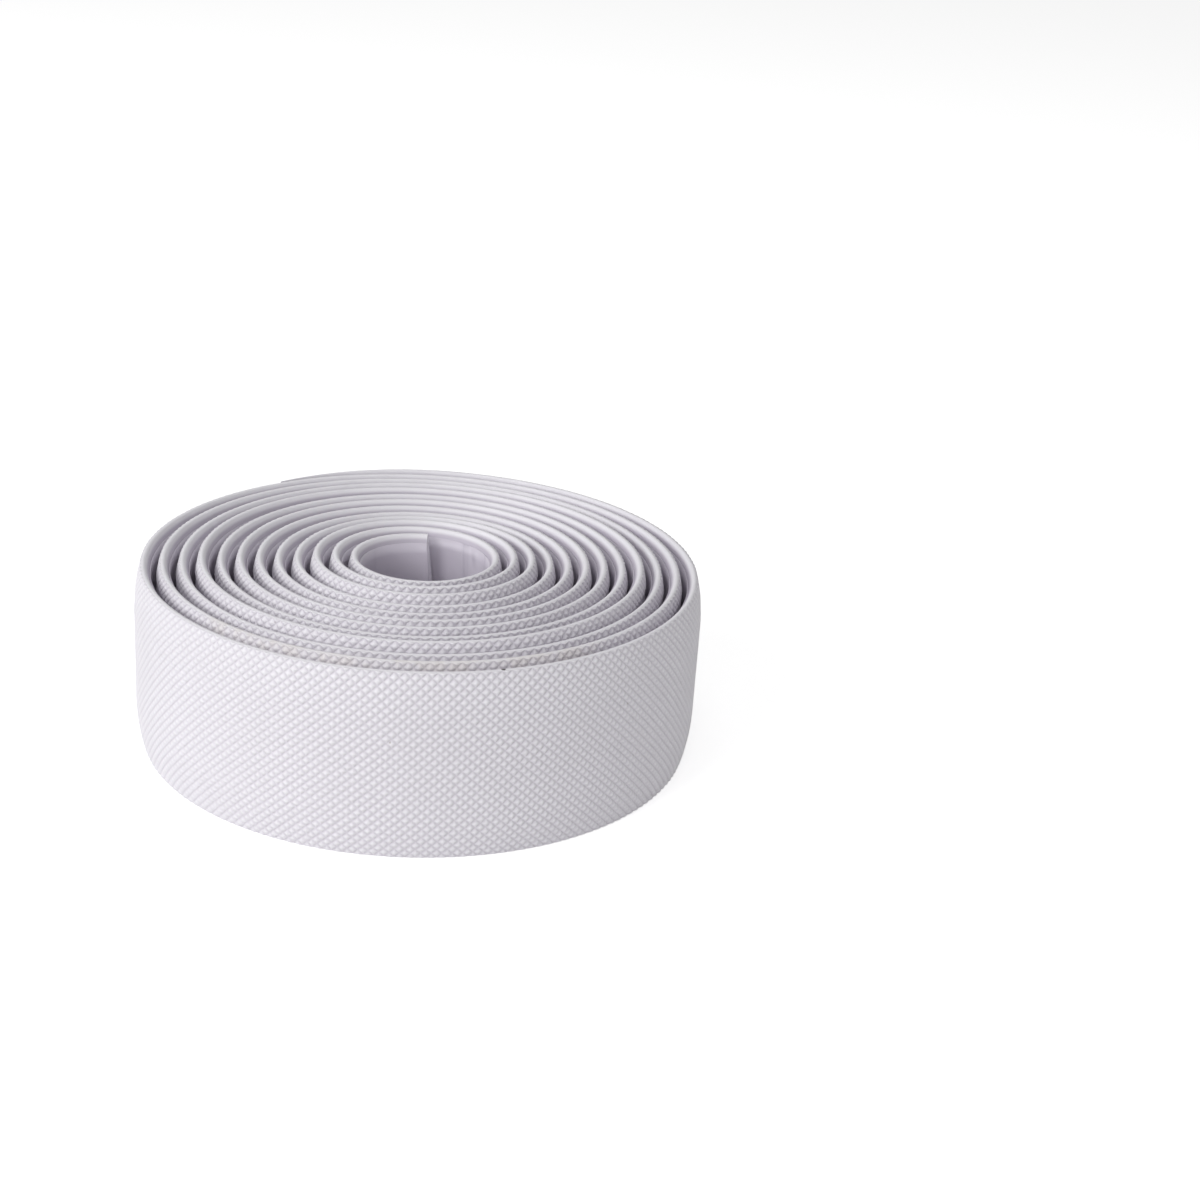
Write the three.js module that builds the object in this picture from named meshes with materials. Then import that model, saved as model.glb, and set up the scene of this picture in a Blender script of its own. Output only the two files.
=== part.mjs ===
// A roll of bicycle handlebar tape, lying flat on one side.
// Millimetres, +Z up along the roll's axis. The origin is at the bottom centre of the roll's box.
//
// The tape is one long padded strip with a crowned, textured face and a flat back. A thin paper
// liner covers the adhesive back. Both are drawn flat, as they would lie on a bench, and are
// then wound up together on one spiral, with the textured face outwards.

import * as THREE from "three";

// The tape's cross-section
const tapeWidth = 30;
const tapeThickness = 2.4;
const edgeThickness = 1.1;
const crownHeight = 1.05;
const shoulderWidth = 8;
const shoulderFullness = 3.5;
const backBevelWidth = 0.6;

// The paper liner on the adhesive back
const linerMargin = 1.7;
const linerThickness = 0.12;
const linerStandOff = 0.1;

// The winding
const boreRadius = 9.1;
const fullTurns = 12;
const tailOverlap = 39;
const innerEndAngle = 90;
const windingGap = 0.15;
const facetSag = 0.13;

// How the soft coil departs from a true spiral
const eyeShift = new THREE.Vector2(0.3, 1.15);
const ovality = 0.2;

// The outer end is skived and a little narrower, so that it lies down without a step
const tailTaperTurns = 0.107;
const tailEndShare = 0.12;
const tailNarrowing = 0.5;

// The inner end is cut at a slant, and this is how much sooner its lower corner starts
const innerEndSlantTurns = 0.045;

// How far each turn stands above the lowest one at the front of the roll, innermost first
const turnLifts = [0.35, 0.7, 0.7, 0, 0, 0.25, 0.35, 0.15, 0.75, 0, 0.25, 0];
const restingTurns = 1;
const liftFadeTurns = 0.4;

// What follows from the sizes above
const radians = THREE.MathUtils.degToRad;
const turns = fullTurns + tailOverlap / 360;
const liningThickness = linerStandOff + linerThickness;
const shiftPerTurn = (eyeShift.length() + ovality) / turns;
const pitch = tapeThickness + liningThickness + windingGap + facetSag + shiftPerTurn;
const firstRadius = boreRadius + tapeThickness;
const lastRadius = firstRadius + pitch * turns;

// Equal sag on every chord needs steps that grow with the root of the radius, so the share of
// the strip that is wound goes with the radius to the power of one and a half.
const chordPower = 1.5;
const chordSum = lastRadius ** chordPower - firstRadius ** chordPower;
const stepCount = Math.ceil((2 * Math.PI * chordSum) / (chordPower * pitch * Math.sqrt(8 * facetSag)));

// The number of turns wound at a share of the strip's steps, from 0 at the inner end to 1
function turnAt(share) {
  const radius = (firstRadius ** chordPower + share * chordSum) ** (1 / chordPower);
  return (radius - firstRadius) / pitch;
}

// The height of the tape's lower edge at a place along the winding
function liftAt(turn) {
  const place = THREE.MathUtils.clamp(turn - 0.5, 0, turnLifts.length - 1);
  const before = Math.floor(place);
  const after = Math.min(before + 1, turnLifts.length - 1);
  const blend = THREE.MathUtils.smoothstep(place - before, 0, 1);
  const lift = THREE.MathUtils.lerp(turnLifts[before], turnLifts[after], blend);
  const restStart = turns - restingTurns;
  return lift * (1 - THREE.MathUtils.smoothstep(turn, restStart - liftFadeTurns, restStart));
}

// How far the taper of the outer end has gone, from 0 before it to 1 at the end
function taperAt(turn) {
  const run = (turn - turns + tailTaperTurns) / tailTaperTurns;
  return THREE.MathUtils.clamp(run, 0, 1) ** 2;
}

// The place on the wound roll of a point of the flat strip: how far along it, how high up its
// width, and how far out from the back of the tape
function woundPoint(share, height, standOut) {
  const slant = innerEndSlantTurns * (1 - height / tapeWidth);
  const turn = share > 0 ? turnAt(share) : -slant;
  const angle = radians(innerEndAngle) + 2 * Math.PI * turn;
  const outward = turn / turns;
  const sway = ovality * outward * Math.cos(2 * angle);
  const taper = taperAt(turn);
  const thicknessShare = standOut > 0 ? THREE.MathUtils.lerp(1, tailEndShare, taper) : 1;
  const radius = boreRadius + pitch * turn + standOut * thicknessShare - sway;
  return new THREE.Vector3(
    eyeShift.x * (1 - outward) + radius * Math.cos(angle),
    eyeShift.y * (1 - outward) + radius * Math.sin(angle),
    height * (1 - (taper * tailNarrowing) / tapeWidth) + liftAt(turn),
  );
}

// A flat strip of the given section, wound up on the spiral
function woundStrip(section) {
  const geometry = new THREE.ExtrudeGeometry(section, {
    depth: 1,
    steps: stepCount,
    curveSegments: 2,
    bevelEnabled: false,
  });
  const points = geometry.getAttribute("position");
  for (let index = 0; index < points.count; index += 1) {
    const wound = woundPoint(points.getZ(index), points.getX(index), points.getY(index));
    points.setXYZ(index, wound.x, wound.y, wound.z);
  }
  geometry.computeVertexNormals();
  return geometry;
}

// The tape's section, with its width along x and its thickness along y, back at y = 0
function tapeSection() {
  const faceEdge = tapeThickness - crownHeight;
  const backEdge = faceEdge - edgeThickness;
  const section = new THREE.Shape();
  section.moveTo(0, backEdge);
  section.lineTo(backBevelWidth, 0);
  section.lineTo(tapeWidth - backBevelWidth, 0);
  section.lineTo(tapeWidth, backEdge);
  section.lineTo(tapeWidth, faceEdge);
  section.quadraticCurveTo(
    tapeWidth - shoulderFullness, tapeThickness, tapeWidth - shoulderWidth, tapeThickness,
  );
  section.lineTo(shoulderWidth, tapeThickness);
  section.quadraticCurveTo(shoulderFullness, tapeThickness, 0, faceEdge);
  section.closePath();
  return section;
}

// The liner's section, just under the tape's back and short of both edges
function linerSection() {
  const section = new THREE.Shape();
  section.moveTo(linerMargin, -liningThickness);
  section.lineTo(tapeWidth - linerMargin, -liningThickness);
  section.lineTo(tapeWidth - linerMargin, -linerStandOff);
  section.lineTo(linerMargin, -linerStandOff);
  section.closePath();
  return section;
}

function namedPiece(name, section, color, roughness) {
  const material = new THREE.MeshStandardMaterial({ color, roughness, metalness: 0 });
  const mesh = new THREE.Mesh(woundStrip(section), material);
  mesh.name = name;
  return mesh;
}

const coil = new THREE.Group();
coil.add(namedPiece("tape", tapeSection(), 0xe6e4e9, 0.6));
coil.add(namedPiece("release_liner", linerSection(), 0xd8d3e2, 0.45));

// Stand the coil on the ground, with the middle of its box on the origin
const box = new THREE.Box3().setFromObject(coil);
const middle = box.getCenter(new THREE.Vector3());
coil.position.set(-middle.x, -middle.y, -box.min.z);

const roll = new THREE.Group();
roll.add(coil);

export default roll;
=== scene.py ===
"""A roll of white bicycle handlebar tape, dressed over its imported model.

The tape is made flat, as it would lie on a bench: a grid is turned into a lattice of diamonds,
each diamond is raised as a small pillow, and the strip is trimmed and closed round its edges
and back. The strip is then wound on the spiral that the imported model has. The paper liner on
its back is made and wound in the same way.
"""

import logging
import math
from dataclasses import dataclass
from dataclasses import field
from dataclasses import replace
from enum import Enum

import bmesh
import bpy
from mathutils import Matrix
from mathutils import Vector
from mathutils import noise


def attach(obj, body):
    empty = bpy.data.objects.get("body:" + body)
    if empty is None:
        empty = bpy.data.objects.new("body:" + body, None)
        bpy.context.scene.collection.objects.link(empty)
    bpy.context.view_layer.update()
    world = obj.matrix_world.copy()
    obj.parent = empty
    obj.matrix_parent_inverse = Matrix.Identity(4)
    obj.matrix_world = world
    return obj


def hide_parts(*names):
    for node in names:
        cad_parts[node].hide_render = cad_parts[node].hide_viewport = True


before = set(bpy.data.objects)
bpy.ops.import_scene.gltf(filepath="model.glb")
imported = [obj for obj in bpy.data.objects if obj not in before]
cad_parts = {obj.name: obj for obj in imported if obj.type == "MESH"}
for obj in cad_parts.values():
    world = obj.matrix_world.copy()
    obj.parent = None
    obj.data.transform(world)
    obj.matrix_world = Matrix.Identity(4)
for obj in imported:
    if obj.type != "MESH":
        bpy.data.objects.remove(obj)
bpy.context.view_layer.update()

log = logging.getLogger("handlebar_tape")

# A millimetre and a cubic centimetre in metres
MM = 0.001
CUBIC_CM = 0.01 ** 3

# The distance in millimetres within which two points are the same
TOUCH = 0.01

FULL_TURN = 2 * math.pi

# A colour in linear light, with its opacity last
Colour = tuple[float, float, float, float]
WHITE: Colour = (1.0, 1.0, 1.0, 1.0)


def smooth_step(value: float, low: float, high: float) -> float:
    """Rise smoothly from 0 to 1 between two values.

    Args:
        value: The value to place.
        low: Where the rise begins.
        high: Where the rise ends.

    Returns:
        A number from 0 to 1.
    """
    share = min(max((value - low) / (high - low), 0.0), 1.0)
    return share * share * (3 - 2 * share)


def blend(first: float, second: float, share: float) -> float:
    """Give the value that lies a share of the way from the first to the second."""
    return first + (second - first) * share


def linear_light(value: int) -> float:
    """Turn one channel of a colour on a screen, from 0 to 255, into linear light."""
    share = value / 255
    return share / 12.92 if share <= 0.04045 else ((share + 0.055) / 1.055) ** 2.4


def colour(red: int, green: int, blue: int) -> Colour:
    """Give a colour in linear light, from its three channels on a screen."""
    return (linear_light(red), linear_light(green), linear_light(blue), 1.0)


@dataclass(frozen=True)
class Winding:
    """The spiral that the flat tape is wound on, in millimetres and degrees.

    A flat strip has its length along x, its width along y and its thickness along z, with the
    back of the tape at z = 0 and its textured face upwards.
    """

    tape_width: float = 30.0
    tape_thickness: float = 2.4
    liner_stand_off: float = 0.1
    liner_thickness: float = 0.12
    winding_gap: float = 0.15
    facet_sag: float = 0.13
    bore_radius: float = 9.1
    full_turns: int = 12
    tail_overlap: float = 39.0
    inner_end_angle: float = 90.0
    eye_shift: tuple[float, float] = (0.3, 1.15)
    ovality: float = 0.2
    tail_taper_turns: float = 0.107
    tail_end_share: float = 0.12
    tail_narrowing: float = 0.5
    inner_end_slant_turns: float = 0.045
    turn_lifts: tuple[float, ...] = (
        0.35, 0.7, 0.7, 0.0, 0.0, 0.25, 0.35, 0.15, 0.75, 0.0, 0.25, 0.0,
    )
    resting_turns: float = 1.0
    lift_fade_turns: float = 0.4
    axis: tuple[float, float] = (0.0, 0.0)

    @property
    def turns(self) -> float:
        """The number of turns from the inner end to the tail."""
        return self.full_turns + self.tail_overlap / 360

    @property
    def pitch(self) -> float:
        """The distance from one turn to the next."""
        lining = self.liner_stand_off + self.liner_thickness
        shift = (math.hypot(*self.eye_shift) + self.ovality) / self.turns
        return self.tape_thickness + lining + self.winding_gap + self.facet_sag + shift

    @property
    def first_radius(self) -> float:
        """The radius of the textured face at the inner end."""
        return self.bore_radius + self.tape_thickness

    def length_at(self, turn: float) -> float:
        """Give the length of tape wound from the inner end, measured on the textured face."""
        return FULL_TURN * (self.first_radius * turn + self.pitch * turn * turn / 2)

    def turn_at(self, along: float) -> float:
        """Give the number of turns that a length of tape winds up to.

        Args:
            along: The length from the inner end, on the textured face.

        Returns:
            The turns from the inner end.
        """
        first = self.first_radius
        root = math.sqrt(first * first + self.pitch * along / math.pi)
        return (root - first) / self.pitch

    def lift_at(self, turn: float) -> float:
        """Give the height of the tape's lower edge.

        Args:
            turn: The place along the winding, in turns from the inner end.

        Returns:
            The height above the surface that the roll lies on.
        """
        last = len(self.turn_lifts) - 1
        place = min(max(turn - 0.5, 0.0), float(last))
        before = int(place)
        after = min(before + 1, last)
        share = smooth_step(place - before, 0.0, 1.0)
        lift = blend(self.turn_lifts[before], self.turn_lifts[after], share)
        rest_start = self.turns - self.resting_turns
        return lift * (1 - smooth_step(turn, rest_start - self.lift_fade_turns, rest_start))

    def place(self, along: float, height: float, stand_out: float) -> Vector:
        """Give the place on the wound roll of a point of the flat strip.

        Args:
            along: The distance from the inner end, on the textured face.
            height: The distance from the strip's lower edge.
            stand_out: The distance out from the back of the tape.

        Returns:
            The point, in millimetres.
        """
        turn = self.turn_at(along)
        angle = math.radians(self.inner_end_angle) + FULL_TURN * turn
        outward = turn / self.turns
        run = (turn - self.turns + self.tail_taper_turns) / self.tail_taper_turns
        taper = min(max(run, 0.0), 1.0) ** 2
        thickness_share = blend(1.0, self.tail_end_share, taper) if stand_out > 0 else 1.0
        sway = self.ovality * outward * math.cos(2 * angle)
        radius = self.bore_radius + self.pitch * turn + stand_out * thickness_share - sway
        return Vector((
            self.axis[0] + self.eye_shift[0] * (1 - outward) + radius * math.cos(angle),
            self.axis[1] + self.eye_shift[1] * (1 - outward) + radius * math.sin(angle),
            height * (1 - taper * self.tail_narrowing / self.tape_width) + self.lift_at(turn),
        ))

    def centred(self) -> "Winding":
        """Give the same winding with the middle of its box over the origin.

        Returns:
            The moved winding.
        """
        start = self.length_at(self.turns - 1)
        end = self.length_at(self.turns)
        samples = 720
        rim = [
            self.place(blend(start, end, step / samples), 0.0, self.tape_thickness)
            for step in range(samples + 1)
        ]
        across = [point.x for point in rim]
        deep = [point.y for point in rim]
        axis = (-(max(across) + min(across)) / 2, -(max(deep) + min(deep)) / 2)
        return replace(self, axis=axis)

    def start_at(self, height: float) -> float:
        """Give where the slanted inner end lies at a height across the width.

        Args:
            height: The distance from the strip's lower edge.

        Returns:
            The place along the strip, which is 0 at the upper corner and negative below it.
        """
        slant = self.length_at(self.inner_end_slant_turns)
        return slant * (height / self.tape_width - 1)


@dataclass(frozen=True)
class Grain:
    """The lattice of small diamonds on the tape's face, with sizes in millimetres.

    Each diamond is two rows high and one column long, and odd rows are staggered by half a
    column. The first and last rows lie where the face ends and the edges start to turn over.
    """

    winding: Winding
    margin: float = 0.1
    rows: int = 41
    diamond_length: float = 1.585

    @property
    def length(self) -> float:
        """The length of the tape."""
        return self.winding.length_at(self.winding.turns)

    @property
    def columns(self) -> int:
        """The number of columns along the tape."""
        return round(self.length / self.diamond_length)

    @property
    def column(self) -> float:
        """The length of one column."""
        return self.length / self.columns

    @property
    def row(self) -> float:
        """The height of one row."""
        return (self.winding.tape_width - 2 * self.margin) / self.rows

    @staticmethod
    def stagger(row: float) -> float:
        """Give how many columns a row is shifted along the tape."""
        return 0.5 if row % 2 == 1 else 0.0


class Side(Enum):
    """The two long edges of the tape."""

    LOWER = -1
    UPPER = 1


@dataclass(frozen=True)
class Channel:
    """One shader value, which adds Math nodes when it is used in an expression."""

    tree: "Shader"
    socket: bpy.types.NodeSocket

    def _math(self, operation: str, *values: "Channel | float") -> "Channel":
        """Add a Math node.

        Args:
            operation: The Math node's operation.
            values: Its inputs, in order.

        Returns:
            The node's result.
        """
        inputs = dict(enumerate(values))
        return self.tree.node("ShaderNodeMath", {"operation": operation}, inputs)

    def __add__(self, other: "Channel | float") -> "Channel":
        """Add a value."""
        return self._math("ADD", self, other)

    def __radd__(self, other: "Channel | float") -> "Channel":
        """Add this to a value."""
        return self._math("ADD", other, self)

    def __sub__(self, other: "Channel | float") -> "Channel":
        """Take a value away."""
        return self._math("SUBTRACT", self, other)

    def __rsub__(self, other: "Channel | float") -> "Channel":
        """Take this away from a value."""
        return self._math("SUBTRACT", other, self)

    def __mul__(self, other: "Channel | float") -> "Channel":
        """Multiply by a value."""
        return self._math("MULTIPLY", self, other)

    def __rmul__(self, other: "Channel | float") -> "Channel":
        """Multiply a value by this."""
        return self._math("MULTIPLY", other, self)

    def __pow__(self, power: "Channel | float") -> "Channel":
        """Raise to a power."""
        return self._math("POWER", self, power)

    def __rpow__(self, other: "Channel | float") -> "Channel":
        """Raise a value to this power."""
        return self._math("POWER", other, self)

    def sine(self) -> "Channel":
        """Give the sine."""
        return self._math("SINE", self)

    def size(self) -> "Channel":
        """Give the size without the sign."""
        return self._math("ABSOLUTE", self)

    def between(self, low: float, high: float) -> "Channel":
        """Rise smoothly from 0 to 1 as this goes from one value to another.

        Args:
            low: Where the rise begins.
            high: Where the rise ends, which may be the lower of the two.

        Returns:
            A mask from 0 to 1.
        """
        settings = {"interpolation_type": "SMOOTHSTEP"}
        inputs = {"Value": self, "From Min": low, "From Max": high}
        return self.tree.node("ShaderNodeMapRange", settings, inputs)


class Shader:
    """The node tree of a material or a world under construction."""

    def __init__(self, owner: bpy.types.Material | bpy.types.World) -> None:
        """Start with an empty tree.

        Args:
            owner: The material or the world that the nodes are for.
        """
        self.owner = owner
        self.owner.use_nodes = True
        self.nodes = owner.node_tree.nodes
        self.links = owner.node_tree.links
        self.nodes.clear()

    @classmethod
    def for_material(cls, name: str) -> "Shader":
        """Start a new material."""
        return cls(bpy.data.materials.new(name))

    def _make(self, kind: str, settings: dict, inputs: dict) -> bpy.types.Node:
        """Add a node.

        Args:
            kind: The node's type.
            settings: Its own settings, which are made first.
            inputs: A value or a channel for each socket that isn't left alone.

        Returns:
            The new node.
        """
        made = self.nodes.new(kind)
        for name, value in settings.items():
            setattr(made, name, value)
        for name, value in inputs.items():
            if isinstance(value, Channel):
                self.links.new(value.socket, made.inputs[name])
            else:
                made.inputs[name].default_value = value
        return made

    def node(self, kind: str, settings: dict, inputs: dict, output: str | int = 0) -> Channel:
        """Add a node and give one of its outputs.

        Args:
            kind: The node's type.
            settings: Its own settings, which are made first.
            inputs: A value or a channel for each socket that isn't left alone.
            output: The name or the number of the output.

        Returns:
            The chosen output.
        """
        return Channel(self, self._make(kind, settings, inputs).outputs[output])

    def mix(self, share: Channel, first: Channel | Colour, second: Channel | Colour) -> Channel:
        """Mix two colours.

        Args:
            share: How much of the second colour to take.
            first: The first colour.
            second: The second colour.

        Returns:
            The mixed colour.
        """
        share_socket, first_socket, second_socket, result_socket = 0, 6, 7, 2
        inputs = {share_socket: share, first_socket: first, second_socket: second}
        return self.node("ShaderNodeMix", {"data_type": "RGBA"}, inputs, result_socket)

    def noise(self, where: Channel, scale: float, detail: float = 2.0) -> Channel:
        """Add a noise texture and give its value."""
        inputs = {"Vector": where, "Scale": scale, "Detail": detail}
        return self.node("ShaderNodeTexNoise", {}, inputs, "Fac")

    def attribute(self, name: str, output: str) -> Channel:
        """Read one of the piece's own attributes."""
        return self.node("ShaderNodeAttribute", {"attribute_name": name}, {}, output)

    def part(self, vector: Channel, axis: str) -> Channel:
        """Give one of the three parts of a vector."""
        return self.node("ShaderNodeSeparateXYZ", {}, {"Vector": vector}, axis)

    def seen_directly(self) -> Channel:
        """Find where the camera sees a surface by itself, in a gloss or through glass.

        Returns:
            1 there, and 0 for all other light.
        """
        names = ("Is Camera Ray", "Is Glossy Ray", "Is Transmission Ray")
        itself, gloss, glass = (
            self.node("ShaderNodeLightPath", {}, {}, name) for name in names
        )
        return (itself + gloss + glass).between(0.0, 1.0)

    def bump(self, height: Channel, distance: float, strength: float = 1.0) -> Channel:
        """Turn a height into a normal.

        Args:
            height: The height, from 0 to 1.
            distance: How far a height of 1 stands out, in millimetres.
            strength: How much of it to show.

        Returns:
            The normal.
        """
        inputs = {"Strength": strength, "Distance": distance * MM, "Height": height}
        return self.node("ShaderNodeBump", {}, inputs, "Normal")

    def principled(self, base: Channel, roughness: Channel, gloss: float,
                   normal: Channel) -> Channel:
        """Add a surface that is neither metal nor glass.

        Args:
            base: Its colour.
            roughness: Its roughness.
            gloss: How strongly it mirrors light, where 0.5 is usual.
            normal: Its normal.

        Returns:
            The surface.
        """
        return self.node("ShaderNodeBsdfPrincipled", {}, {
            "Base Color": base,
            "Roughness": roughness,
            "Specular IOR Level": gloss,
            "Normal": normal,
        }, "BSDF")

    def finish(self, surface: Channel) -> bpy.types.Material | bpy.types.World:
        """Connect the surface.

        Args:
            surface: The shader to show.

        Returns:
            The finished material or world.
        """
        is_world = isinstance(self.owner, bpy.types.World)
        kind = "ShaderNodeOutputWorld" if is_world else "ShaderNodeOutputMaterial"
        self._make(kind, {}, {"Surface": surface})
        return self.owner


@dataclass(frozen=True)
class Patches:
    """Soft patches of another colour, where a noise is high."""

    tint: Colour
    share: float
    scale: float
    detail: float
    low: float
    high: float

    def over(self, base: Channel, shader: Shader, strip: Channel) -> Channel:
        """Lay the patches over a colour.

        Args:
            base: The colour beneath.
            shader: The shader to add to.
            strip: The flat place on the tape.

        Returns:
            The colour with the patches.
        """
        mask = shader.noise(strip, self.scale, self.detail).between(self.low, self.high)
        return shader.mix(mask * self.share, base, self.tint)


@dataclass(frozen=True)
class Specks:
    """Fine specks scattered in the foam, each full at its core and fading to its edge."""

    tint: Colour = colour(150, 140, 132)
    share: float = 0.5
    scale: float = 95.0
    edge: float = 0.022
    core: float = 0.008

    def over(self, base: Channel, shader: Shader, strip: Channel) -> Channel:
        """Lay the specks over a colour.

        Args:
            base: The colour beneath.
            shader: The shader to add to.
            strip: The flat place on the tape.

        Returns:
            The colour with the specks.
        """
        inputs = {"Vector": strip, "Scale": self.scale}
        far = shader.node("ShaderNodeTexVoronoi", {}, inputs, "Distance")
        return shader.mix(far.between(self.edge, self.core) * self.share, base, self.tint)


@dataclass(frozen=True)
class WarmRimTint:
    """A faint warm tint on the rim of the last turn but one, with places in millimetres."""

    tint: Colour = colour(226, 219, 211)
    start: float = 1775.0
    end: float = 1832.0
    fade: float = 8.0
    lower_edge: float = 26.0
    rise: float = 1.5
    patch_scale: float = 350.0
    patch_low: float = 0.4
    patch_high: float = 0.6
    least_share: float = 0.1
    patch_share: float = 0.25

    def over(self, base: Channel, shader: Shader, strip: Channel) -> Channel:
        """Lay the warm tint over a colour.

        Args:
            base: The colour beneath.
            shader: The shader to add to.
            strip: The flat place on the tape.

        Returns:
            The colour with the warm tint.
        """
        along = shader.part(strip, "X")
        past_start = along.between((self.start - self.fade) * MM, self.start * MM)
        short_of_end = along.between((self.end + self.fade) * MM, self.end * MM)
        full_from = (self.lower_edge + self.rise) * MM
        on_rim = shader.part(strip, "Y").between(self.lower_edge * MM, full_from)
        patches = shader.noise(strip, self.patch_scale).between(self.patch_low, self.patch_high)
        strength = self.least_share + patches * self.patch_share
        return shader.mix(past_start * short_of_end * on_rim * strength, base, self.tint)


@dataclass(frozen=True)
class DirtSpot:
    """The one dark spot of dirt on the outer rim, with its flat place in millimetres."""

    tint: Colour = colour(52, 46, 50)
    place: tuple[float, float, float] = (2101.3, 29.95, 0.9)
    radius: float = 0.45
    core_share: float = 0.5

    def over(self, base: Channel, shader: Shader, strip: Channel) -> Channel:
        """Lay the spot over a colour.

        Args:
            base: The colour beneath.
            shader: The shader to add to.
            strip: The flat place on the tape.

        Returns:
            The colour with the spot.
        """
        inputs = {0: strip, 1: tuple(part * MM for part in self.place)}
        far = shader.node("ShaderNodeVectorMath", {"operation": "DISTANCE"}, inputs, "Value")
        mask = far.between(self.radius * MM, self.core_share * self.radius * MM)
        return shader.mix(mask, base, self.tint)


@dataclass(frozen=True)
class FoamFinish:
    """The satin skin of white polyurethane foam, with a pressed grain, its wear, and painted shade
    in its grooves and on its back.

    Sizes are in millimetres. The back's painted shade begins at back_edge, counted from the back
    of the tape, and is full at back_full.
    """

    grain: Grain
    face: Colour = colour(235, 233, 238)
    # Painted shade: the grooves between the pillows are coloured darker than the pillow tops.
    groove_shade: Colour = colour(222, 218, 226)
    # Painted shade: the tape's back, which lies in shade between the turns, is coloured darker.
    back_shade: Colour = colour(196, 190, 202)
    back_edge: float = 0.5
    back_full: float = 0.15
    clouds: Patches = Patches(
        tint=colour(226, 223, 229), share=0.35, scale=90.0, detail=3.0, low=0.35, high=0.7,
    )
    specks: Specks = Specks()
    warm_rim: WarmRimTint = WarmRimTint()
    dirt: DirtSpot = DirtSpot()
    roughness: float = 0.55
    roughness_spread: float = 0.12
    pillow_polish: float = 0.04
    gloss: float = 0.4
    dome_height: float = 0.15
    dome_power: float = 0.5
    skin_scale: float = 4200.0
    skin_share: float = 0.1

    def _domes(self, shader: Shader, strip: Channel) -> Channel:
        """Give a height that rounds each diamond of the grain.

        Args:
            shader: The shader to add to.
            strip: The flat place on the tape.

        Returns:
            0 in the grooves and 1 in the middle of each diamond.
        """
        diamond_height = 2 * self.grain.row * MM
        column = shader.part(strip, "X") * (1 / (self.grain.column * MM))
        row = (shader.part(strip, "Y") - self.grain.margin * MM) * (1 / diamond_height)
        rising = ((column - row) * math.pi).sine().size()
        falling = ((column + row) * math.pi).sine().size()
        return (rising * falling) ** self.dome_power

    def material(self) -> bpy.types.Material:
        """Build the material.

        Returns:
            The foam's material.
        """
        shader = Shader.for_material("white_foam_tape")
        strip = shader.attribute("strip", "Vector")
        top = shader.attribute("pillow_top", "Fac")
        # Painted shade in the grooves, from the pillow_top layer, which is 0 in the grooves.
        base = shader.mix(top, self.groove_shade, self.face)
        # Cloudy tone, specks, and a warmer tint on the rim of the last turn but one.
        for mark in (self.clouds, self.specks, self.warm_rim):
            base = mark.over(base, shader, strip)
        # Painted shade on the back of the tape and its bevel.
        on_back = shader.part(strip, "Z").between(self.back_edge * MM, self.back_full * MM)
        base = shader.mix(on_back, base, self.back_shade)
        base = self.dirt.over(base, shader, strip)
        skin = shader.noise(strip, self.skin_scale)
        domes = self._domes(shader, strip) * shader.attribute("textured", "Fac")
        normal = shader.bump(domes + skin * self.skin_share, self.dome_height)
        uneven = (skin - 0.5) * self.roughness_spread
        roughness = self.roughness + uneven - top * self.pillow_polish
        return shader.finish(shader.principled(base, roughness, self.gloss, normal))


@dataclass(frozen=True)
class LinerFinish:
    """Smooth release paper, pale violet, with a slight gloss and painted shade in its creases. Its
    heights are in millimetres.
    """

    sheet: Colour = colour(207, 201, 213)
    # Painted shade: the creases and the dimple are coloured darker.
    fold_shade: Colour = colour(150, 143, 160)
    fold_shade_share: float = 0.6
    clouds: Patches = Patches(
        tint=colour(214, 209, 219), share=0.3, scale=160.0, detail=4.0, low=0.3, high=0.7,
    )
    roughness: float = 0.42
    roughness_spread: float = 0.15
    gloss: float = 0.45
    fibre_scale: float = 2600.0
    fibre_detail: float = 4.0
    fibre_height: float = 0.015
    fibre_strength: float = 0.25

    def material(self) -> bpy.types.Material:
        """Build the material.

        Returns:
            The paper's material.
        """
        shader = Shader.for_material("violet_release_paper")
        strip = shader.attribute("strip", "Vector")
        crease = shader.attribute("crease", "Fac")
        # Painted shade in the creases and the dimple, from the crease layer.
        base = shader.mix(crease * self.fold_shade_share, self.sheet, self.fold_shade)
        base = self.clouds.over(base, shader, strip)
        fibres = shader.noise(strip, self.fibre_scale, self.fibre_detail)
        normal = shader.bump(fibres, self.fibre_height, self.fibre_strength)
        roughness = self.roughness + (fibres - 0.5) * self.roughness_spread
        return shader.finish(shader.principled(base, roughness, self.gloss, normal))


def wind_up(bm: bmesh.types.BMesh, winding: Winding, strip: bmesh.types.BMLayerItem) -> None:
    """Wind a flat strip on its spiral, keeping each point's flat place as an attribute.

    Args:
        bm: The flat strip, in millimetres.
        winding: The spiral.
        strip: The vector layer that takes the flat place, in metres.
    """
    for vert in bm.verts:
        vert[strip] = vert.co * MM
        vert.co = winding.place(vert.co.x, vert.co.y, vert.co.z) * MM


def make_piece(bm: bmesh.types.BMesh, name: str, material: bpy.types.Material) -> bpy.types.Object:
    """Turn a finished bmesh into an object with its material, and report it.

    Args:
        bm: The finished mesh, in metres. It is freed.
        name: The piece's name.
        material: The piece's material.

    Returns:
        The new object.
    """
    open_edges = sum(not edge.is_manifold for edge in bm.edges)
    triangles = sum(len(face.verts) - 2 for face in bm.faces)
    volume = bm.calc_volume() / CUBIC_CM
    log.info("%s: %d open edges, %.1f cm3, %d triangles", name, open_edges, volume, triangles)
    mesh = bpy.data.meshes.new(name)
    bm.to_mesh(mesh)
    bm.free()
    mesh.materials.append(material)
    piece = bpy.data.objects.new(name, mesh)
    bpy.context.scene.collection.objects.link(piece)
    return piece


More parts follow.
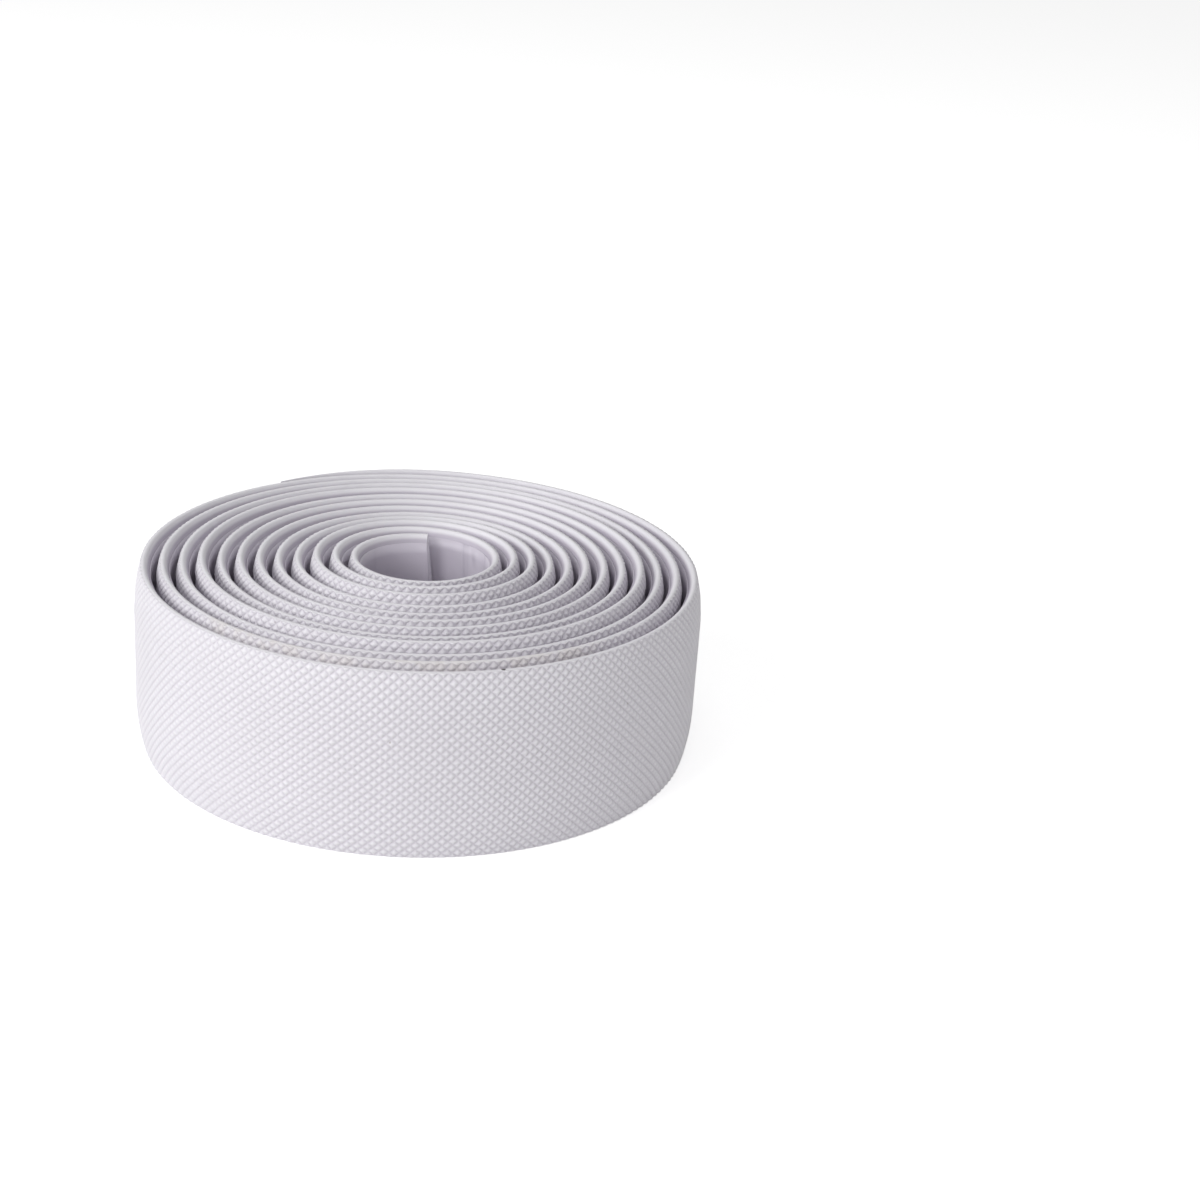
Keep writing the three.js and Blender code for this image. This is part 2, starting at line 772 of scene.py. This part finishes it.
@dataclass
class Tape:
    """The padded strip, with a grain of small diamonds pressed into its face.

    Sizes are in millimetres. The grain covers the whole face where the outer turn shows it.
    On the turns inside, it covers the bands by the two edges that can be seen between turns.
    """

    winding: Winding
    grain: Grain
    material: bpy.types.Material
    crown_height: float = 1.05
    shoulder_width: float = 8.0
    shoulder_fullness: float = 3.5
    edge_thickness: float = 0.8
    back_round: float = 0.18
    back_bevel: float = 1.2
    edge_squareness: float = 2.4
    edge_steps: int = 4
    flat_margin: float = 0.4
    lower_band_rows: int = 2
    upper_band_rows: int = 4
    pillow_slope: float = 0.34
    pillow_height: float = 0.23
    pillow_unevenness: float = 0.15
    unevenness_scale: float = 0.35
    groove_depth: float = 0.14
    hidden_margin_turns: float = 0.05
    length: float = field(init=False)
    column: float = field(init=False)
    row: float = field(init=False)
    margin: float = field(init=False)
    split: int = field(init=False)

    def __post_init__(self) -> None:
        """Take the lattice's sizes, and work out the column where the outer turn starts."""
        self.length = self.grain.length
        self.column = self.grain.column
        self.row = self.grain.row
        self.margin = self.grain.margin
        grained_start = self.winding.length_at(self.winding.turns - 1 - self.hidden_margin_turns)
        self.split = int(grained_start / self.column)

    def crown(self, height: float) -> float:
        """Give how far the face stands out from the back at a height across the width.

        Args:
            height: The distance from the tape's lower edge.

        Returns:
            The distance from the back.
        """
        inset = min(height, self.winding.tape_width - height)
        inset = min(max(inset, 0.0), self.shoulder_width)
        pull = self.shoulder_width - 2 * self.shoulder_fullness
        fullness = self.shoulder_fullness
        share = (math.sqrt(fullness * fullness + pull * inset) - fullness) / pull
        return self.winding.tape_thickness - self.crown_height * (1 - share) ** 2

    def _lattice(self, bm: bmesh.types.BMesh, first: int, last: int, rows: list[float]) -> None:
        """Lay a grid whose odd rows are staggered, split into triangles between whole rows.

        Args:
            bm: The mesh to add to.
            first: The first column.
            last: The column after the last one.
            rows: The rows' places across the width, counted in rows of the grain.
        """
        start = len(bm.faces)
        columns = last - first
        made = bmesh.ops.create_grid(bm, x_segments=columns, y_segments=len(rows) - 1, size=1.0)
        for index, vert in enumerate(made["verts"]):
            row = rows[index // (columns + 1)]
            along = first + index % (columns + 1) + self.grain.stagger(row)
            vert.co = (along * self.column, self.margin + row * self.row, 0.0)
        bm.faces.ensure_lookup_table()
        faces = bm.faces[start:]
        rising = []
        falling = []
        for index, (below, above) in enumerate(zip(rows, rows[1:])):
            if above - below == 1:
                chosen = rising if below % 2 == 1 else falling
                chosen.extend(faces[index * columns:(index + 1) * columns])
        bmesh.ops.triangulate(bm, faces=rising, quad_method="FIXED")
        bmesh.ops.triangulate(bm, faces=falling, quad_method="ALTERNATE")

    def _join_triangles(self, bm: bmesh.types.BMesh) -> None:
        """Join the triangles that meet along a row into diamonds.

        Args:
            bm: The flat face.
        """
        seams = [
            edge for edge in bm.edges
            if abs(edge.verts[0].co.y - edge.verts[1].co.y) < TOUCH
            and len(edge.link_faces) == 2
            and all(len(face.verts) == 3 for face in edge.link_faces)
        ]
        bmesh.ops.dissolve_edges(bm, edges=seams)

    def _fill_split(self, bm: bmesh.types.BMesh) -> None:
        """Close the face where the outer turn's rows meet the plain middle of the turns inside.

        Args:
            bm: The flat face.
        """
        place = self.split * self.column
        near = 1.5 * self.column
        low = self.margin + (self.lower_band_rows - 0.5) * self.row
        high = self.margin + (self.grain.rows - self.upper_band_rows + 0.5) * self.row
        gap = [
            edge for edge in bm.edges
            if edge.is_boundary
            and all(abs(vert.co.x - place) < near for vert in edge.verts)
            and all(low < vert.co.y < high for vert in edge.verts)
        ]
        bmesh.ops.holes_fill(bm, edges=gap, sides=0)

    def _grained_sheet(self, bm: bmesh.types.BMesh) -> None:
        """Lay the whole flat face as a lattice of diamonds, plain where no one sees it.

        Args:
            bm: The mesh to add to.
        """
        top = self.grain.rows
        plain = [
            (self.shoulder_width - self.margin) / self.row,
            (self.winding.tape_width - self.shoulder_width - self.margin) / self.row,
        ]
        lower = list(range(-1, self.lower_band_rows + 1))
        upper = list(range(top - self.upper_band_rows, top + 2))
        first = math.floor(self.winding.start_at(0.0) / self.column) - 1
        self._lattice(bm, first, self.split, lower + plain + upper)
        self._lattice(bm, self.split, self.grain.columns + 1, list(range(-1, top + 2)))
        bmesh.ops.remove_doubles(bm, verts=bm.verts[:], dist=TOUCH)
        self._join_triangles(bm)
        self._fill_split(bm)

    def _is_diamond(self, face: bmesh.types.BMFace) -> bool:
        """Tell whether a face is a whole diamond, two rows high and one column long.

        Args:
            face: A face of the flat lattice.

        Returns:
            True for a whole diamond.
        """
        along = [vert.co.x for vert in face.verts]
        across = [vert.co.y for vert in face.verts]
        over_one_row = 1.5 * self.row
        about_one_column = 1.1 * self.column
        return (
            len(face.verts) == 4
            and max(across) - min(across) > over_one_row
            and max(along) - min(along) < about_one_column
            and len({round(height / TOUCH) for height in across}) == 3
        )

    def _raise_pillows(self, bm: bmesh.types.BMesh, top: bmesh.types.BMLayerItem) -> None:
        """Raise each diamond as a small pillow.

        Args:
            bm: The flat face.
            top: The layer that takes 1 on a pillow's top and 0 in the grooves.
        """
        diamonds = [face for face in bm.faces if self._is_diamond(face)]
        bmesh.ops.inset_individual(
            bm, faces=diamonds, thickness=self.pillow_slope, depth=self.pillow_height,
            use_even_offset=True,
        )
        for vert in bm.verts:
            if vert.co.z > self.pillow_height / 2:
                vert[top] = 1.0
                place = Vector((vert.co.x, vert.co.y, 0.0)) * self.unevenness_scale
                vert.co.z *= 1 + self.pillow_unevenness * noise.noise(place)
        log.info("raised %d diamonds", len(diamonds))

    def _trim(self, bm: bmesh.types.BMesh) -> None:
        """Cut the sheet to its length and to where its edges start to turn over.

        Args:
            bm: The flat face.
        """
        width = self.winding.tape_width
        slope = -self.winding.start_at(0.0) / width
        cuts = (
            ((0.0, self.margin, 0.0), (0.0, -1.0, 0.0)),
            ((0.0, width - self.margin, 0.0), (0.0, 1.0, 0.0)),
            ((0.0, width, 0.0), (-1.0, slope, 0.0)),
            ((self.length, 0.0, 0.0), (1.0, 0.0, 0.0)),
        )
        for place, outwards in cuts:
            everything = bm.verts[:] + bm.edges[:] + bm.faces[:]
            bmesh.ops.bisect_plane(
                bm, geom=everything, dist=TOUCH, plane_co=place, plane_no=outwards,
                clear_outer=True,
            )

    def _corner_along(self, along: float, side: Side) -> float:
        """Give the nearest corner of a diamond along one edge of the tape.

        Args:
            along: A place along the edge.
            side: Which edge.

        Returns:
            The corner's place, or the place itself at the strip's two ends.
        """
        inset = self.margin if side is Side.LOWER else self.winding.tape_width - self.margin
        start = self.winding.start_at(inset)
        if along < start + TOUCH or along > self.length - TOUCH:
            return along
        stagger = self.grain.stagger(self.grain.rows if side is Side.UPPER else 0)
        corner = (round(along / self.column - stagger) + stagger) * self.column
        return min(max(corner, start), self.length)

    def _edge_profile(self) -> list[tuple[float, float]]:
        """Give the section of a long edge, from where the face ends to the flat of the back.

        Returns:
            The points' distances in from the edge of the tape and out from its back.
        """
        back_edge = self.winding.tape_thickness - self.crown_height - self.edge_thickness
        power = self.edge_squareness
        profile = []
        for step in range(1, self.edge_steps + 1):
            outward = math.cos(math.pi * step / self.edge_steps)
            rise = (1 - min(abs(outward), 1.0) ** power) ** (1 / power)
            reach = self.margin if outward > 0 else self.back_round
            stand_out = back_edge + self.edge_thickness * (1 + outward) / 2
            profile.append((reach * (1 - rise), stand_out))
        profile.append((self.back_bevel, 0.0))
        profile.append((self.back_bevel + self.flat_margin, 0.0))
        return profile

    def _turn_over_edge(self, bm: bmesh.types.BMesh, side: Side, top: bmesh.types.BMLayerItem,
                        textured: bmesh.types.BMLayerItem) -> list[bmesh.types.BMEdge]:
        """Carry the face round one long edge and down to the flat of the back.

        Args:
            bm: The trimmed and crowned face.
            side: Which edge.
            top: The layer that is 1 on a pillow's top, and takes 1 on the edge and the back.
            textured: The layer that is 1 on the face, and takes 0 on the edge and the back.

        Returns:
            The edges along the flat of the back.
        """
        width = self.winding.tape_width
        start = self.margin if side is Side.LOWER else width - self.margin
        chain = [
            edge for edge in bm.edges
            if edge.is_boundary and all(abs(vert.co.y - start) < TOUCH for vert in edge.verts)
        ]
        for number, (inset, stand_out) in enumerate(self._edge_profile()):
            height = inset if side is Side.LOWER else width - inset
            made = bmesh.ops.extrude_edge_only(bm, edges=chain)["geom"]
            verts = [item for item in made if isinstance(item, bmesh.types.BMVert)]
            for vert in verts:
                along = self._corner_along(vert.co.x, side) if number == 0 else vert.co.x
                vert.co = (along, height, stand_out)
                vert[top] = 1.0
                vert[textured] = 0.0
            if number == 0:
                bmesh.ops.remove_doubles(bm, verts=verts, dist=TOUCH)
                verts = [vert for vert in verts if vert.is_valid]
            kept = set(verts)
            chain = list(dict.fromkeys(
                edge for vert in verts for edge in vert.link_edges
                if edge.verts[0] in kept and edge.verts[1] in kept
            ))
        return chain

    def build(self) -> bpy.types.Object:
        """Build the tape flat, close it and wind it up.

        Returns:
            The wound tape.
        """
        bm = bmesh.new()
        top = bm.verts.layers.float.new("pillow_top")
        textured = bm.verts.layers.float.new("textured")
        strip = bm.verts.layers.float_vector.new("strip")
        self._grained_sheet(bm)
        self._raise_pillows(bm, top)
        self._trim(bm)
        for vert in bm.verts:
            vert[textured] = 1.0
            vert.co.z += self.crown(vert.co.y) - self.groove_depth
        chains = [
            edge for side in Side for edge in self._turn_over_edge(bm, side, top, textured)
        ]
        bmesh.ops.bridge_loops(bm, edges=chains)
        ends = [edge for edge in bm.edges if edge.is_boundary]
        caps = bmesh.ops.holes_fill(bm, edges=ends, sides=0)["faces"]
        for face in bm.faces:
            face.smooth = True
        for face in caps:
            face.smooth = False
            for edge in face.edges:
                edge.smooth = False
        bmesh.ops.recalc_face_normals(bm, faces=bm.faces[:])
        wind_up(bm, self.winding, strip)
        return make_piece(bm, "grained_tape", self.material)


@dataclass(frozen=True)
class Crease:
    """An upright fold in the paper, with its place and sizes in millimetres."""

    place: float
    depth: float
    width: float


@dataclass(frozen=True)
class Dimple:
    """A round dent in the paper, with its place and sizes in millimetres."""

    along: float = 70.5
    height: float = 26.2
    radius: float = 0.7
    depth: float = 0.3


@dataclass
class ReleaseLiner:
    """The thin paper on the tape's adhesive back, with sizes in millimetres."""

    winding: Winding
    material: bpy.types.Material
    margin: float = 1.3
    seen_length: float = 90.0
    seen_column: float = 0.4
    hidden_column: float = 1.6
    rows: int = 14
    rim_stand_off: float = 0.02
    rim_width: float = 2.5
    creases: tuple[Crease, ...] = (
        Crease(place=73.3, depth=0.2, width=0.35),
        Crease(place=72.5, depth=0.1, width=0.3),
        Crease(place=66.0, depth=0.1, width=0.6),
        Crease(place=12.0, depth=0.05, width=0.8),
        Crease(place=30.0, depth=0.08, width=0.7),
    )
    lean: float = 0.4
    lean_scale: float = 0.12
    dimple: Dimple = Dimple()
    full_shade_depth: float = 0.2

    def _fold_depth(self, along: float, height: float) -> float:
        """Give how far the paper stands off the tape at its creases and its dimple.

        Args:
            along: The distance from the inner end.
            height: The distance from the tape's lower edge.

        Returns:
            The depth of the fold.
        """
        depth = 0.0
        for crease in self.creases:
            wave = noise.noise(Vector((crease.place, height * self.lean_scale, 0.0)))
            middle = crease.place + self.lean * wave
            depth += crease.depth * math.exp(-abs(along - middle) / crease.width)
        dimple = self.dimple
        distance = math.hypot(along - dimple.along, height - dimple.height) / dimple.radius
        return depth + dimple.depth * math.exp(-distance * distance)

    def _fold_and_stretch(self, bm: bmesh.types.BMesh, columns: int, seen: int,
                          crease: bmesh.types.BMLayerItem) -> None:
        """Give a square grid the liner's flat size, and fold it.

        Args:
            bm: The grid, from -1 to 1 both ways.
            columns: The number of columns.
            seen: How many of them are in the part that can be seen.
            crease: The layer that takes 1 in a deep fold and 0 on the flat, which sets the painted
                shade in the folds.
        """
        winding = self.winding
        length = winding.length_at(winding.turns)
        across = winding.tape_width - 2 * self.margin
        for vert in bm.verts:
            height = self.margin + (vert.co.y + 1) / 2 * across
            column = (vert.co.x + 1) / 2 * columns
            if column < seen:
                along = blend(winding.start_at(height), self.seen_length, column / seen)
            else:
                along = blend(self.seen_length, length, (column - seen) / (columns - seen))
            depth = self._fold_depth(along, height)
            vert[crease] = min(depth / self.full_shade_depth, 1.0)
            inset = min(height, winding.tape_width - height) - self.margin
            rim = smooth_step(inset, 0.0, self.rim_width)
            stand_off = blend(self.rim_stand_off, winding.liner_stand_off, rim)
            vert.co = (along, height, -stand_off - depth)

    def build(self) -> bpy.types.Object:
        """Build the liner flat, fold it, give it its thickness and wind it up.

        Returns:
            The wound liner.
        """
        length = self.winding.length_at(self.winding.turns)
        seen = round(self.seen_length / self.seen_column)
        columns = seen + round((length - self.seen_length) / self.hidden_column)
        bm = bmesh.new()
        crease = bm.verts.layers.float.new("crease")
        strip = bm.verts.layers.float_vector.new("strip")
        bmesh.ops.create_grid(bm, x_segments=columns, y_segments=self.rows, size=1.0)
        self._fold_and_stretch(bm, columns, seen, crease)
        bmesh.ops.solidify(bm, geom=bm.faces[:], thickness=self.winding.liner_thickness)
        for face in bm.faces:
            face.smooth = True
        bmesh.ops.recalc_face_normals(bm, faces=bm.faces[:])
        wind_up(bm, self.winding, strip)
        return make_piece(bm, "paper_liner", self.material)


@dataclass(frozen=True)
class Lamp:
    """A square area lamp that points at the roll, in metres and watts."""

    name: str
    place: tuple[float, float, float]
    size: float
    power: float

    def hang(self) -> None:
        """Add the lamp to the scene."""
        data = bpy.data.lights.new(self.name, "AREA")
        data.size = self.size
        data.energy = self.power
        lamp = bpy.data.objects.new(self.name, data)
        lamp.location = self.place
        lamp.rotation_euler = (-Vector(self.place)).to_track_quat("-Z", "Y").to_euler()
        bpy.context.scene.collection.objects.link(lamp)


@dataclass
class Studio:
    """The camera, the floor and the lights.

    The camera's distance, aim and sensor are in millimetres and its angles in degrees. The
    floor and the clip distances are in metres.
    """

    winding: Winding
    focal_pixels: float = 1985.9
    image_pixels: float = 1200.0
    sensor_width: float = 36.0
    elevation: float = 21.77
    roll: float = 4.094
    distance: float = 330.17
    aim_right: float = 30.07
    aim_up: float = 9.43
    clip_start: float = 0.01
    clip_end: float = 20.0
    ambient: float = 0.33
    floor_radius: float = 4.0
    floor_sides: int = 64
    floor_paint: Colour = (0.8, 0.8, 0.8, 1.0)
    floor_glow: float = 0.62
    lamps: tuple[Lamp, ...] = (
        Lamp("key_left", (-0.8, -0.9, 0.7), size=0.6, power=6.6),
        Lamp("side_left", (-1.2, -0.25, 0.55), size=0.6, power=4.0),
        Lamp("fill_front", (0.1, -1.3, 0.22), size=0.8, power=4.9),
        Lamp("soft_top", (0.0, 0.0, 1.3), size=0.8, power=2.0),
    )

    def camera(self) -> None:
        """Place the camera as the photograph saw the roll, and make it the scene's own."""
        rise = math.radians(self.elevation)
        tilt = math.radians(self.roll)
        forward = Vector((0.0, math.cos(rise), -math.sin(rise)))
        right = Vector((1.0, 0.0, 0.0))
        up = right.cross(forward)
        middle = Vector((*self.winding.axis, self.winding.tape_width / 2))
        aim = middle + right * self.aim_right + up * self.aim_up
        image_right = right * math.cos(tilt) + up * math.sin(tilt)
        image_up = up * math.cos(tilt) - right * math.sin(tilt)
        turned = Matrix((image_right, image_up, -forward)).transposed().to_4x4()
        data = bpy.data.cameras.new("photo_camera")
        data.sensor_width = self.sensor_width
        data.lens = self.sensor_width * self.focal_pixels / self.image_pixels
        data.clip_start = self.clip_start
        data.clip_end = self.clip_end
        camera = bpy.data.objects.new("photo_camera", data)
        camera.matrix_world = Matrix.Translation((aim - forward * self.distance) * MM) @ turned
        bpy.context.scene.collection.objects.link(camera)
        bpy.context.scene.camera = camera

    def floor(self) -> None:
        """Lay the pale floor, which keeps the roll's shadow."""
        bm = bmesh.new()
        bmesh.ops.create_circle(
            bm, cap_ends=True, segments=self.floor_sides, radius=self.floor_radius,
        )
        shader = Shader.for_material("pale_floor")
        paint = shader.node("ShaderNodeBsdfDiffuse", {}, {"Color": self.floor_paint})
        glow = shader.node("ShaderNodeEmission", {}, {"Strength": self.floor_glow})
        both = shader.node("ShaderNodeAddShader", {}, {0: paint, 1: glow})
        seen = shader.seen_directly()
        surface = shader.node("ShaderNodeMixShader", {}, {0: seen, 1: paint, 2: both})
        make_piece(bm, "pale_floor", shader.finish(surface))

    def world(self) -> None:
        """Give even light from all round, with a white background where it is seen."""
        shader = Shader(bpy.data.worlds.new("studio"))
        inputs = {"Color": WHITE, "Strength": self.ambient}
        light = shader.node("ShaderNodeBackground", {}, inputs)
        white = shader.node("ShaderNodeBackground", {}, {"Color": WHITE})
        seen = shader.seen_directly()
        surface = shader.node("ShaderNodeMixShader", {}, {0: seen, 1: light, 2: white})
        bpy.context.scene.world = shader.finish(surface)

    def build(self) -> None:
        """Set up the whole studio."""
        self.camera()
        self.floor()
        self.world()
        for lamp in self.lamps:
            lamp.hang()
        bpy.context.scene.view_settings.view_transform = "Standard"


def main() -> None:
    """Build the studio and the roll, and report each piece."""
    logging.basicConfig(level=logging.INFO, format="%(name)s: %(message)s")
    winding = Winding().centred()
    log.info("axis at %.3f, %.3f mm, pitch %.3f mm, %.0f mm of tape",
             *winding.axis, winding.pitch, winding.length_at(winding.turns))
    Studio(winding).build()
    grain = Grain(winding)
    tape = Tape(winding, grain, FoamFinish(grain).material()).build()
    liner = ReleaseLiner(winding, LinerFinish().material()).build()
    for piece, node, slot in ((tape, "tape", "tape"), (liner, "release_liner", "liner")):
        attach(piece, "root")
        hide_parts(node)
        log.info("%s stands for %s", piece.name, node)


if __name__ == "__main__":
    main()
